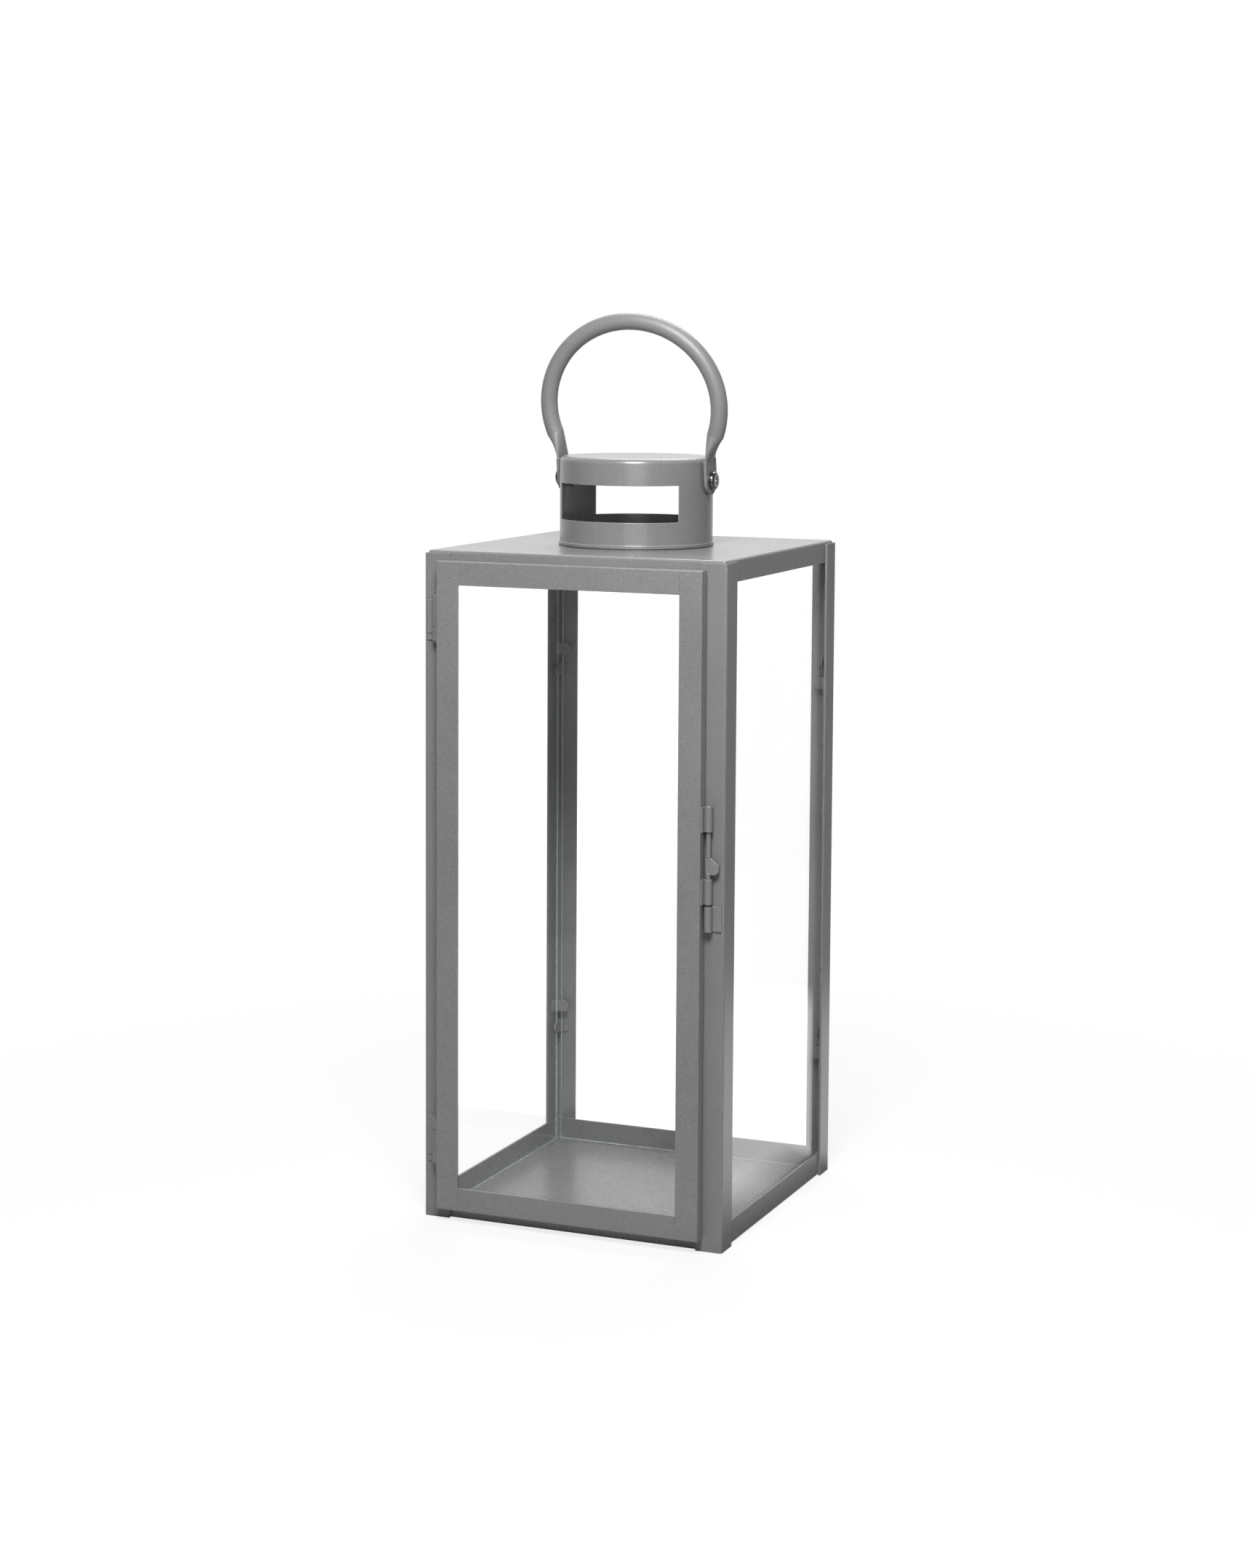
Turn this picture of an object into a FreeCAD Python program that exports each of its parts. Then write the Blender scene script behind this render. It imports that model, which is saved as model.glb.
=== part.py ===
import FreeCAD, Part
import os
import re
import Sketcher

# A square candle lantern of folded sheet steel and glass, in millimetres.
# The origin is the middle of the footprint on the ground, +Z is up and the door faces -Y.

DRIVING_SIZES = (
    # posts, base tray and roof
    ("body_width", 140.0, "across the posts, left to right"),
    ("body_depth", 140.0, "across the posts, front to back"),
    ("post_height", 293.2, "corner post, end to end"),
    ("post_flange", 12.0, "each leg of a corner post"),
    ("post_sheet", 1.0, "sheet of the corner posts"),
    ("bend_inside", 0.2, "inside radius of a fold"),
    ("tray_sheet", 1.0, "sheet of the base tray and of the roof"),
    ("nest_gap", 0.05, "tray and roof inside the posts, each side"),
    ("rim_height", 10.5, "rim of the base tray above the ground"),
    ("roof_rise", 1.2, "roof above the top ends of the posts"),
    ("roof_skirt", 9.7, "folded edge of the roof, top to bottom"),
    ("vent_dia", 58.0, "hole in the roof under the chimney"),
    # fixed panes and their clips
    ("glass_sheet", 2.0, "glass thickness"),
    ("glass_gap", 0.1, "pane to the sheet beside it"),
    ("glass_headroom", 1.5, "pane top to the underside of the roof"),
    ("glass_setback", 5.5, "pane edge from the outside of the post"),
    ("clip_sheet", 0.8, "sheet of the pane clips"),
    ("clip_gap", 0.1, "clip tongue to the glass"),
    ("clip_width", 5.5, "width of a clip tongue"),
    ("clip_foot", 4.0, "welded foot of a clip"),
    ("clip_tip", 9.6, "tip of a tongue from the outside of the post"),
    ("clip_low", 66.0, "lower clips above the ground"),
    ("clip_head", 54.5, "upper clips below the top ends of the posts"),
    ("clip_stagger", 10.0, "drop between the two clips of a corner"),
    # chimney drum
    ("drum_dia", 68.0, "outside of the drum wall"),
    ("drum_height", 39.6, "drum above the roof"),
    ("drum_sheet", 0.8, "sheet of the drum"),
    ("drum_round", 2.4, "outside radius of the top edge"),
    ("hem_proud", 0.5, "hem outside the drum wall"),
    ("hem_height", 1.3, "hem along the drum wall"),
    ("hem_lift", 0.5, "hem above the roof"),
    ("window_sill", 11.8, "window above the roof"),
    ("window_height", 16.0, "window, bottom to top"),
    ("window_angle", 110.0, "part of the drum that a window opens, in degrees"),
    ("tab_width", 6.0, "tabs that hold the drum on the roof"),
    ("tab_foot", 4.0, "bent end of a tab under the roof"),
    ("tab_gap", 0.1, "tab in its slot, each side"),
    # bail and its pivots
    ("pivot_rise", 29.4, "bail pivots above the roof"),
    ("pivot_dia", 4.0, "shank of the pivot screws"),
    ("pivot_fit", 0.08, "pivot hole round the shank, each side"),
    ("bail_bulge", 6.6, "middle of the bail tube beyond the drum, at its widest"),
    ("bail_squat", 3.0, "half height of the bail loop, less than its half width"),
    ("bail_rise", 32.6, "centre of the bail above the pivots"),
    ("bail_lean_angle", 7.5, "bail leaning forward, in degrees"),
    ("bail_tube", 7.5, "bail tube diameter"),
    ("bail_round_from", 20.0, "end of the full round tube above the pivots"),
    ("bail_flat_from", 9.3, "end of the flattened tab above the pivots"),
    ("bail_flat_width", 12.4, "flattened tab, front to back"),
    ("bail_flat_sheet", 1.2, "flattened tab, through both walls"),
    ("bail_play", 0.1, "tab to washer and to screw head"),
    ("bail_overlap", 1.0, "pressed neck let into the flattened tab"),
    ("washer_sheet", 0.5, "washer between tab and drum"),
    ("washer_dia", 9.0, "washer, outside"),
    ("screw_head_dia", 8.2, "pan head of a pivot screw"),
    ("screw_head_height", 2.3, "pan head, seat to top"),
    ("screw_head_round", 1.5, "rounding of the pan head"),
    ("recess_span", 4.6, "cross recess, tip to tip"),
    ("recess_slot", 1.1, "cross recess, slot width"),
    ("recess_depth", 1.3, "cross recess, depth"),
    ("screw_tip", 1.0, "screw past the nut"),
    ("nut_flats", 7.0, "nut across its flats"),
    ("nut_height", 3.2, "nut along the screw"),
    ("thread_gap", 0.03, "nut and washer round the shank, each side"),
    # door
    ("door_width", 122.6, "door, side to side"),
    ("door_height", 284.7, "door, bottom to top"),
    ("door_bottom", 5.6, "door above the ground"),
    ("door_depth", 5.0, "folded edge of the door, front to back"),
    ("door_standoff", 1.5, "door behind its edge to the posts"),
    ("door_sheet", 1.0, "sheet of the door"),
    ("stile_width", 10.2, "upright of the door frame"),
    ("rail_height", 10.2, "cross piece of the door frame"),
    ("seam_gap", 0.15, "stile to rail"),
    ("pane_gap", 0.4, "door pane to the folded edges"),
    # hinges and bolt
    ("knuckle_dia", 3.4, "outside of a rolled knuckle"),
    ("knuckle_gap", 0.35, "knuckle to what it turns past"),
    ("pin_dia", 2.0, "hinge pin and bolt rod"),
    ("pin_fit", 0.06, "knuckle bore round the pin, each side"),
    ("pin_head_dia", 2.8, "upset ends of a hinge pin"),
    ("pin_head_height", 0.5, "upset ends, along the pin"),
    ("pin_play", 0.3, "knuckle to knuckle and to pin head"),
    ("leaf_sheet", 0.6, "sheet of the hinge leaves"),
    ("leaf_reach", 4.8, "post leaf from the pin"),
    ("leaf_margin", 0.7, "door leaf behind the door face"),
    ("fold_sheet", 0.3, "doubled middle of a post leaf"),
    ("fold_height", 14.3, "doubled middle, along the pin"),
    ("hinge_height", 20.4, "hinge leaf along the pin"),
    ("door_knuckle", 5.7, "knuckle of the door leaf"),
    ("hinge_foot", 19.5, "lower hinge above the foot of the door"),
    ("hinge_head", 14.4, "upper hinge below the head of the door"),
    ("keeper_drop", 9.7, "foot of the bolt keeper below the middle of the door"),
    ("barrel_height", 10.7, "bolt barrels, each"),
    ("barrel_gap", 1.0, "keeper to the lower guide"),
    ("guide_clear", 20.1, "lower guide to the upper guide"),
    ("keeper_reach", 5.3, "keeper plate from the bolt"),
    ("bolt_hold", 1.6, "rod in the keeper when bolted"),
    ("bolt_clear", 0.2, "rod above the keeper when drawn to rest"),
    ("bolt_top", 7.0, "rod in the upper guide when bolted"),
    ("paddle_rest", 0.15, "paddle above the lower guide when bolted"),
    ("paddle_height", 7.9, "thumb paddle along the rod"),
    ("paddle_reach", 4.7, "thumb paddle from the rod"),
    ("paddle_sheet", 1.4, "flattened thumb paddle"),
    ("paddle_slope", 3.6, "drop of the paddle's slanted top"),
    ("paddle_corner", 1.4, "clipped lower corner of the paddle"),
    ("paddle_neck", 0.5, "round rod running into the flattened paddle"),
)

ALIASES = {alias for alias, size, note in DRIVING_SIZES}
LEFT, RIGHT = -1, 1
FRONT, BACK = -1, 1

# Derived places, as formulas of the driving sizes
HALF_WIDTH = "(body_width / 2)"
HALF_DEPTH = "(body_depth / 2)"
ROOF_TOP = "(post_height + roof_rise)"
ROOF_UNDER = f"({ROOF_TOP} - tray_sheet)"
TRAY_INSET = "(post_sheet + nest_gap)"
TRAY_BEND = "(bend_inside + tray_sheet)"
PANE_INSET = f"({TRAY_INSET} + tray_sheet + glass_gap)"
CLIP_INSET = f"({PANE_INSET} + glass_sheet + clip_gap)"
FOLD_REST = "(bend_inside - sqrt(bend_inside ^ 2 - (bend_inside - glass_gap) ^ 2))"
PANE_FOOT = f"(tray_sheet + {FOLD_REST} + nest_gap)"
DRUM_RADIUS = "(drum_dia / 2)"
DRUM_INSIDE = "(drum_dia / 2 - drum_sheet)"
PIVOT_HEIGHT = f"({ROOF_TOP} + pivot_rise)"
FLAT_INSIDE = f"({DRUM_RADIUS} + washer_sheet + bail_play)"
FLAT_MIDDLE = f"({FLAT_INSIDE} + bail_flat_sheet / 2)"
BAIL_HALF_WIDTH = f"({DRUM_RADIUS} + bail_bulge)"
BAIL_HALF_HEIGHT = f"({BAIL_HALF_WIDTH} - bail_squat)"
HEAD_SEAT = f"({FLAT_INSIDE} + bail_flat_sheet + bail_play)"
NUT_CORNER = "(nut_flats / 2 / cos(30))"
NUT_SEAT = f"(sqrt({DRUM_INSIDE} ^ 2 - {NUT_CORNER} ^ 2) - thread_gap)"
DOOR_HALF = "(door_width / 2)"
DOOR_REAR = f"(-{HALF_DEPTH} - door_standoff)"
DOOR_FRONT = f"({DOOR_REAR} - door_depth)"
DOOR_PANE_INSET = "(door_sheet + glass_gap)"
AXIS_X = f"({DOOR_HALF} + knuckle_dia / 2 + knuckle_gap)"
AXIS_Y = f"(-{HALF_DEPTH} - knuckle_dia / 2 - knuckle_gap)"
KNUCKLE_CLEAR = "(knuckle_dia / 2 + knuckle_gap)"
POST_KNUCKLE = "(hinge_height - door_knuckle - pin_play)"
DOOR_TOP = "(door_bottom + door_height)"
HINGE_LOW = "(door_bottom + hinge_foot)"
HINGE_HIGH = f"({DOOR_TOP} - hinge_head - hinge_height)"
CLIP_LEVELS = ("clip_low", "(post_height - clip_head)")
KEEPER = "(door_bottom + door_height / 2 - keeper_drop)"
LOWER_GUIDE = f"({KEEPER} + barrel_height + barrel_gap)"
UPPER_GUIDE = f"({LOWER_GUIDE} + barrel_height + guide_clear)"
BOLT_LIFT = "(bolt_hold + bolt_clear)"

doc = FreeCAD.newDocument("candle_lantern")
sheet = doc.addObject("Spreadsheet::Sheet", "Sizes")
for row, (alias, size, note) in enumerate(DRIVING_SIZES, start=1):
    sheet.set(f"A{row}", alias)
    sheet.set(f"B{row}", str(size))
    sheet.setAlias(f"B{row}", alias)
    sheet.set(f"C{row}", note)
doc.recompute()

nodes = []


def formula(text):
    """Point each size named in a formula at its cell of the sheet."""
    return re.sub(r"[a-z_]+", lambda m: f"Sizes.{m[0]}" if m[0] in ALIASES else m[0], text)


def bind(target, **properties):
    for name, text in properties.items():
        target.setExpression(name, formula(text))


def place(target, x="0", y="0", z="0"):
    bind(target, **{"Placement.Base.x": x, "Placement.Base.y": y, "Placement.Base.z": z})
    return target


def turn(target, axis, degrees):
    rotation = FreeCAD.Rotation(FreeCAD.Vector(*axis), degrees)
    target.Placement = FreeCAD.Placement(FreeCAD.Vector(), rotation)
    return target


def node(target, name):
    """Keep an object as one sub-part under the name of its file."""
    target.Label = name
    nodes.append(target)
    return target


# Primitives and booleans

def box(name, x, y, z):
    """A box between pairs of formulas (low, high) on each axis."""
    solid = doc.addObject("Part::Box", name)
    bind(solid, Length=f"{x[1]} - ({x[0]})", Width=f"{y[1]} - ({y[0]})", Height=f"{z[1]} - ({z[0]})")
    return place(solid, x[0], y[0], z[0])


def cylinder(name, radius, along, low, high, centre):
    """A cylinder along "x", "y" or "z" between low and high, with its other two places in centre."""
    solid = doc.addObject("Part::Cylinder", name)
    if along == "x":
        turn(solid, (0, 1, 0), 90)
        base = (low, centre[0], centre[1])
    elif along == "y":
        turn(solid, (1, 0, 0), -90)
        base = (centre[0], low, centre[1])
    else:
        base = (centre[0], centre[1], low)
    bind(solid, Radius=radius, Height=f"{high} - ({low})")
    return place(solid, *base)


def fuse(name, *solids):
    joined = doc.addObject("Part::MultiFuse", name)
    joined.Shapes = list(solids)
    return joined


def cut(name, solid, *tools):
    result = doc.addObject("Part::Cut", name)
    result.Base = solid
    result.Tool = tools[0] if len(tools) == 1 else fuse(name + "_tools", *tools)
    return result


def group(name, *solids):
    together = doc.addObject("Part::Compound", name)
    together.Links = list(solids)
    return together


def sided(side, low, high):
    """A pair of formulas mirrored to one side of the middle."""
    if side > 0:
        return (low, high)
    return (f"-({high})", f"-({low})")


# Bodies with sketches

def body(name):
    return doc.addObject("PartDesign::Body", name)


def sketch(owner, name, plane, offset="0"):
    """A sketch on one of the body's own origin planes, moved along the plane's normal."""
    drawing = owner.newObject("Sketcher::SketchObject", name)
    drawing.AttachmentSupport = [(f, "") for f in owner.Origin.OriginFeatures if f.Role == plane]
    drawing.MapMode = "FlatFace"
    bind(drawing, **{"AttachmentOffset.Base.z": offset})
    return drawing


def constrain(drawing, kind, geometry, point, text):
    index = drawing.addConstraint(Sketcher.Constraint(kind, -1, 1, geometry, point, 1.0))
    drawing.setExpression(f"Constraints[{index}]", formula(text))


def outline(drawing, points):
    """A closed outline of straight edges whose corners are pairs of formulas."""
    last = len(points) - 1
    start = drawing.GeometryCount
    for number in range(len(points)):
        here = FreeCAD.Vector(number, number * number, 0)
        there = FreeCAD.Vector(number + 1, (number + 1) ** 2, 0)
        drawing.addGeometry(Part.LineSegment(here, there))
    for number in range(len(points)):
        following = start if number == last else start + number + 1
        drawing.addConstraint(Sketcher.Constraint("Coincident", start + number, 2, following, 1))
    for number, (x, y) in enumerate(points):
        constrain(drawing, "DistanceX", start + number, 1, x)
        constrain(drawing, "DistanceY", start + number, 1, y)
    return drawing


def rectangle(drawing, x, y):
    corners = [(x[0], y[0]), (x[1], y[0]), (x[1], y[1]), (x[0], y[1])]
    return outline(drawing, corners)


def circle(drawing, radius, x="0", y="0"):
    start = drawing.GeometryCount
    drawing.addGeometry(Part.Circle(FreeCAD.Vector(1, 1, 0), FreeCAD.Vector(0, 0, 1), 1))
    constrain(drawing, "DistanceX", start, 3, x)
    constrain(drawing, "DistanceY", start, 3, y)
    index = drawing.addConstraint(Sketcher.Constraint("Radius", start, 1.0))
    drawing.setExpression(f"Constraints[{index}]", formula(radius))
    return drawing


def pad(owner, name, drawing, length, symmetric=False):
    feature = owner.newObject("PartDesign::Pad", name)
    feature.Profile = drawing
    feature.SideType = "Symmetric" if symmetric else "One side"
    bind(feature, Length=length)
    doc.recompute()
    return feature


def pocket(owner, name, drawing):
    """A pocket right through the body, both ways from its sketch."""
    feature = owner.newObject("PartDesign::Pocket", name)
    feature.Profile = drawing
    feature.Type = "ThroughAll"
    feature.SideType = "Symmetric"
    doc.recompute()
    return feature


def revolve(owner, name, drawing, axis):
    feature = owner.newObject("PartDesign::Revolution", name)
    feature.Profile = drawing
    feature.ReferenceAxis = (drawing, [axis])
    feature.Angle = 360
    doc.recompute()
    return feature


def size_of(alias):
    return float(sheet.get(alias))


def near(value, target):
    return abs(value - target) < 1e-4


def edges_where(feature, test):
    """Names of the straight edges whose two end points both pass the test."""
    found = []
    for number, edge in enumerate(feature.Shape.Edges, start=1):
        if len(edge.Vertexes) == 2 and all(test(v.Point) for v in edge.Vertexes):
            found.append(f"Edge{number}")
    return found


def rims_where(feature, test):
    """Names of the full circles whose centre passes the test."""
    found = []
    for number, edge in enumerate(feature.Shape.Edges, start=1):
        if len(edge.Vertexes) == 1 and test(edge.Curve.Center):
            found.append(f"Edge{number}")
    return found


def fillet(owner, name, feature, edges, radius):
    rounding = owner.newObject("PartDesign::Fillet", name)
    rounding.Base = (feature, edges)
    bind(rounding, Radius=radius)
    doc.recompute()
    return rounding


# Corner posts: one folded angle, turned to each corner

def corner_post(name, side, end, degrees):
    post = body(name)
    leg, wall = "post_flange", "post_sheet"
    corners = [("0", "0"), (leg, "0"), (leg, wall), (wall, wall), (wall, leg), ("0", leg)]
    section = outline(sketch(post, name + "_section", "XY_Plane"), corners)
    angle = pad(post, name + "_angle", section, "post_height")
    sheet_wall = size_of("post_sheet")
    outer = edges_where(angle, lambda p: near(p.x, 0) and near(p.y, 0))
    bent = fillet(post, name + "_bend", angle, outer, "bend_inside + post_sheet")
    inner = edges_where(bent, lambda p: near(p.x, sheet_wall) and near(p.y, sheet_wall))
    fillet(post, name + "_root", bent, inner, "bend_inside")
    turn(post, (0, 0, 1), degrees)
    place(post, f"{side} * {HALF_WIDTH}", f"{end} * {HALF_DEPTH}")
    return node(post, name)


corner_post("post_front_left", LEFT, FRONT, 0)
corner_post("post_front_right", RIGHT, FRONT, 90)
corner_post("post_back_right", RIGHT, BACK, 180)
corner_post("post_back_left", LEFT, BACK, 270)


# Base tray and roof: flat sheets with folded edges that nest inside the posts

def folded_tray(name, height):
    """A tray that stands on z = 0 and opens upward."""
    tray = body(name)
    half_x = f"({HALF_WIDTH} - {TRAY_INSET})"
    half_y = f"({HALF_DEPTH} - {TRAY_INSET})"
    flat = sketch(tray, name + "_plan", "XY_Plane")
    plan = rectangle(flat, (f"-{half_x}", half_x), (f"-{half_y}", half_y))
    block = pad(tray, name + "_block", plan, height)
    top = block.Shape.BoundBox.ZMax
    rim = edges_where(block, lambda p: near(p.z, top))
    folds = [e for e in edges_where(block, lambda p: True) if e not in rim]
    bent = fillet(tray, name + "_bends", block, folds, TRAY_BEND)
    faces = enumerate(bent.Shape.Faces, start=1)
    opening = [f"Face{number}" for number, face in faces if near(face.CenterOfMass.z, top)]
    shell = tray.newObject("PartDesign::Thickness", name + "_shell")
    shell.Base = (bent, opening)
    shell.Reversed = True
    bind(shell, Value="tray_sheet")
    doc.recompute()
    return tray


node(folded_tray("base_tray", "rim_height"), "base_tray")

roof_blank = folded_tray("roof_blank", "roof_skirt")
circle_plan = circle(sketch(roof_blank, "vent_plan", "XY_Plane"), "vent_dia / 2")
pocket(roof_blank, "vent", circle_plan)
turn(roof_blank, (1, 0, 0), 180)
place(roof_blank, z=ROOF_TOP)


# Chimney drum: a drawn cap with two windows, held on the roof by four bent tabs

TAB_ANGLES = (45, 135, 225, 315)


def turned_about_axis(name, solid, degrees):
    return turn(group(name, solid), (0, 0, 1), degrees)


def drum_tab(degrees):
    across = ("-tab_width / 2", "tab_width / 2")
    foot_low = f"({ROOF_UNDER} - drum_sheet)"
    upright = (foot_low, f"{ROOF_TOP} + hem_lift")
    leg = box(f"tab_leg_{degrees}", (DRUM_INSIDE, DRUM_RADIUS), across, upright)
    foot_inside = f"({DRUM_INSIDE} - tab_foot)"
    foot = box(f"tab_foot_{degrees}", (foot_inside, DRUM_RADIUS), across, (foot_low, ROOF_UNDER))
    return turned_about_axis(f"tab_{degrees}", fuse(f"tab_bend_{degrees}", leg, foot), degrees)


def tab_slot(degrees):
    through = (f"{DRUM_INSIDE} - tab_gap", f"{DRUM_RADIUS} + tab_gap")
    across = ("-tab_width / 2 - tab_gap", "tab_width / 2 + tab_gap")
    slot = box(f"slot_cut_{degrees}", through, across, (f"{ROOF_UNDER} - tab_gap", f"{ROOF_TOP} + tab_gap"))
    return turned_about_axis(f"slot_{degrees}", slot, degrees)


def drum_cap():
    drum = body("drum_cap")
    profile = [("0", "drum_height"), (DRUM_RADIUS, "drum_height"), (DRUM_RADIUS, "0"), (DRUM_INSIDE, "0"),
               (DRUM_INSIDE, "drum_height - drum_sheet"), ("0", "drum_height - drum_sheet")]
    cap = revolve(drum, "drum_wall", outline(sketch(drum, "drum_profile", "XZ_Plane"), profile), "V_Axis")
    top = size_of("drum_height")
    under = top - size_of("drum_sheet")
    outer = rims_where(cap, lambda centre: near(centre.z, top))
    rounded = fillet(drum, "drum_top_edge", cap, outer, "drum_round")
    inner = rims_where(rounded, lambda centre: near(centre.z, under))
    fillet(drum, "drum_top_inside", rounded, inner, "drum_round - drum_sheet")
    hem = rectangle(sketch(drum, "hem_profile", "XZ_Plane"), (DRUM_INSIDE, f"{DRUM_RADIUS} + hem_proud"),
                    ("hem_lift", "hem_lift + hem_height"))
    revolve(drum, "hem", hem, "V_Axis")
    half_window = f"({DRUM_RADIUS} * sin(window_angle / 2))"
    window = rectangle(sketch(drum, "window_outline", "XZ_Plane"), (f"-{half_window}", half_window),
                       ("window_sill", "window_sill + window_height"))
    pocket(drum, "windows", window)
    side_view = sketch(drum, "pivot_holes_outline", "YZ_Plane")
    holes = circle(side_view, "pivot_dia / 2 + thread_gap", "0", "pivot_rise")
    pocket(drum, "pivot_holes", holes)
    return place(drum, z=ROOF_TOP)


node(cut("roof_plate", roof_blank, *[tab_slot(angle) for angle in TAB_ANGLES]), "roof_plate")
node(fuse("chimney_drum", drum_cap(), *[drum_tab(angle) for angle in TAB_ANGLES]), "chimney_drum")


# Fixed panes: they stand on the fold inside the rim of the base tray

PANE_UPRIGHT = (PANE_FOOT, f"({ROOF_UNDER} - glass_headroom)")


def side_pane(name, side):
    outside = f"({HALF_WIDTH} - {PANE_INSET})"
    half_run = f"({HALF_DEPTH} - glass_setback)"
    through = sided(side, f"{outside} - glass_sheet", outside)
    pane = box(name, through, (f"-{half_run}", half_run), PANE_UPRIGHT)
    return node(pane, name)


def back_pane(name):
    outside = f"({HALF_DEPTH} - {PANE_INSET})"
    half_run = f"({HALF_WIDTH} - glass_setback)"
    pane = box(name, (f"-{half_run}", half_run), (f"{outside} - glass_sheet", outside), PANE_UPRIGHT)
    return node(pane, name)


side_pane("glass_left", LEFT)
side_pane("glass_right", RIGHT)
back_pane("glass_back")


# Pane clips: a foot welded inside one leg of a post, and a round-ended tongue over the glass

def corner_span(half, side, low, high):
    """Distances from the outside of a corner, as a pair of formulas on one axis."""
    return sided(side, f"{half} - ({high})", f"{half} - ({low})")


def pane_clip(name, side, end, holds, height):
    """holds is "x" for a pane across X, at the back, and "y" for a pane along Y, at one side."""
    halves = {"x": (HALF_WIDTH, side), "y": (HALF_DEPTH, end)}
    along = "y" if holds == "y" else "x"
    through = "x" if holds == "y" else "y"
    tongue = (CLIP_INSET, f"{CLIP_INSET} + clip_sheet")
    round_centre = "(clip_tip - clip_width / 2)"
    upright = (f"{height} - clip_width / 2", f"{height} + clip_width / 2")
    spans = {through: corner_span(*halves[through], *tongue),
             along: corner_span(*halves[along], "post_sheet", round_centre)}
    blade = box(name + "_blade", spans["x"], spans["y"], upright)
    centre_half, centre_side = halves[along]
    centre = f"{centre_side} * ({centre_half} - {round_centre})"
    tip = cylinder(name + "_tip", "clip_width / 2", through, *spans[through], (centre, height))
    spans = {through: corner_span(*halves[through], CLIP_INSET, f"{CLIP_INSET} + clip_foot"),
             along: corner_span(*halves[along], "post_sheet", "post_sheet + clip_sheet")}
    foot = box(name + "_foot", spans["x"], spans["y"], upright)
    return fuse(name, blade, tip, foot)


def pane_clips(name, holds, first, second):
    """Four clips: two corners, each given as (side, end, drop below the upper line)."""
    clips = []
    for side, end, drop in (first, second):
        for level in CLIP_LEVELS:
            label = f"{name}_{len(clips)}"
            clips.append(pane_clip(label, side, end, holds, f"({level} - {drop} * clip_stagger)"))
    return node(group(name, *clips), name)


pane_clips("glass_left_clips", "y", (LEFT, BACK, 1), (LEFT, FRONT, 0))
pane_clips("glass_right_clips", "y", (RIGHT, BACK, 0), (RIGHT, FRONT, 1))
pane_clips("glass_back_clips", "x", (LEFT, BACK, 0), (RIGHT, BACK, 1))


# Door frame: two stiles with folded edges and closed ends, and two rails between them

def door_span(side, low, high):
    """Distances in from a side of the door, as a pair of formulas on X."""
    return sided(side, f"{DOOR_HALF} - ({high})", f"{DOOR_HALF} - ({low})")


def door_stile(name, side):
    stile = body(name)
    edge = f"{side} * {DOOR_HALF}"
    inner = f"{side} * ({DOOR_HALF} - stile_width)"
    wall = f"{side} * ({DOOR_HALF} - door_sheet)"
    skin = f"{DOOR_FRONT} + door_sheet"
    corners = [(edge, DOOR_FRONT), (inner, DOOR_FRONT), (inner, skin), (wall, skin),
               (wall, DOOR_REAR), (edge, DOOR_REAR)]
    section = outline(sketch(stile, name + "_section", "XY_Plane"), corners)
    pad(stile, name + "_angle", section, "door_height")
    for end, offset in (("foot", "0"), ("head", "door_height - door_sheet")):
        across = door_span(side, "0", "stile_width")
        flat = sketch(stile, f"{name}_{end}_plan", "XY_Plane", offset)
        plan = rectangle(flat, across, (DOOR_FRONT, DOOR_REAR))
        closed = pad(stile, f"{name}_{end}", plan, "door_sheet")
    limits = closed.Shape.BoundBox
    outside = limits.XMax if side > 0 else limits.XMin

    def on_fold(point):
        return near(point.y, limits.YMin) and near(point.x, outside)

    def on_end(point, level):
        return near(point.y, limits.YMin) and near(point.z, level)

    folds = edges_where(closed, on_fold)
    for level in (limits.ZMin, limits.ZMax):
        folds += edges_where(closed, lambda p: on_end(p, level))
    fillet(stile, name + "_bends", closed, folds, "bend_inside * 2")
    place(stile, z="door_bottom")
    return node(stile, name)


def door_rail(name, level, at_top):
    rail = body(name)
    skin = f"{DOOR_FRONT} + door_sheet"
    if at_top:
        fold_edge, fold_inside, free_edge = "rail_height", "rail_height - door_sheet", "0"
    else:
        fold_edge, fold_inside, free_edge = "0", "door_sheet", "rail_height"
    corners = [(DOOR_FRONT, fold_edge), (DOOR_REAR, fold_edge),
               (DOOR_REAR, fold_inside), (skin, fold_inside),
               (skin, free_edge), (DOOR_FRONT, free_edge)]
    length = f"2 * ({DOOR_HALF} - stile_width - seam_gap)"
    section = outline(sketch(rail, name + "_section", "YZ_Plane"), corners)
    strip = pad(rail, name + "_strip", section, length, symmetric=True)
    limits = strip.Shape.BoundBox
    fold_level = limits.ZMax if at_top else limits.ZMin
    fold = edges_where(strip, lambda p: near(p.y, limits.YMin) and near(p.z, fold_level))
    fillet(rail, name + "_bend", strip, fold, "bend_inside * 2")
    place(rail, z=level)
    return node(rail, name)


door_stile("door_hinge_stile", LEFT)
door_stile("door_latch_stile", RIGHT)
door_rail("door_top_rail", f"{DOOR_TOP} - rail_height", True)
door_rail("door_bottom_rail", "door_bottom", False)

pane_half = f"({DOOR_HALF} - door_sheet - pane_gap)"
pane_front = f"({DOOR_FRONT} + {DOOR_PANE_INSET})"
pane_edge = "(door_sheet + pane_gap)"
door_glass = box("door_glass", (f"-{pane_half}", pane_half), (pane_front, f"{pane_front} + glass_sheet"),
                 (f"door_bottom + {pane_edge}", f"{DOOR_TOP} - {pane_edge}"))
node(door_glass, "door_glass")


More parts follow.
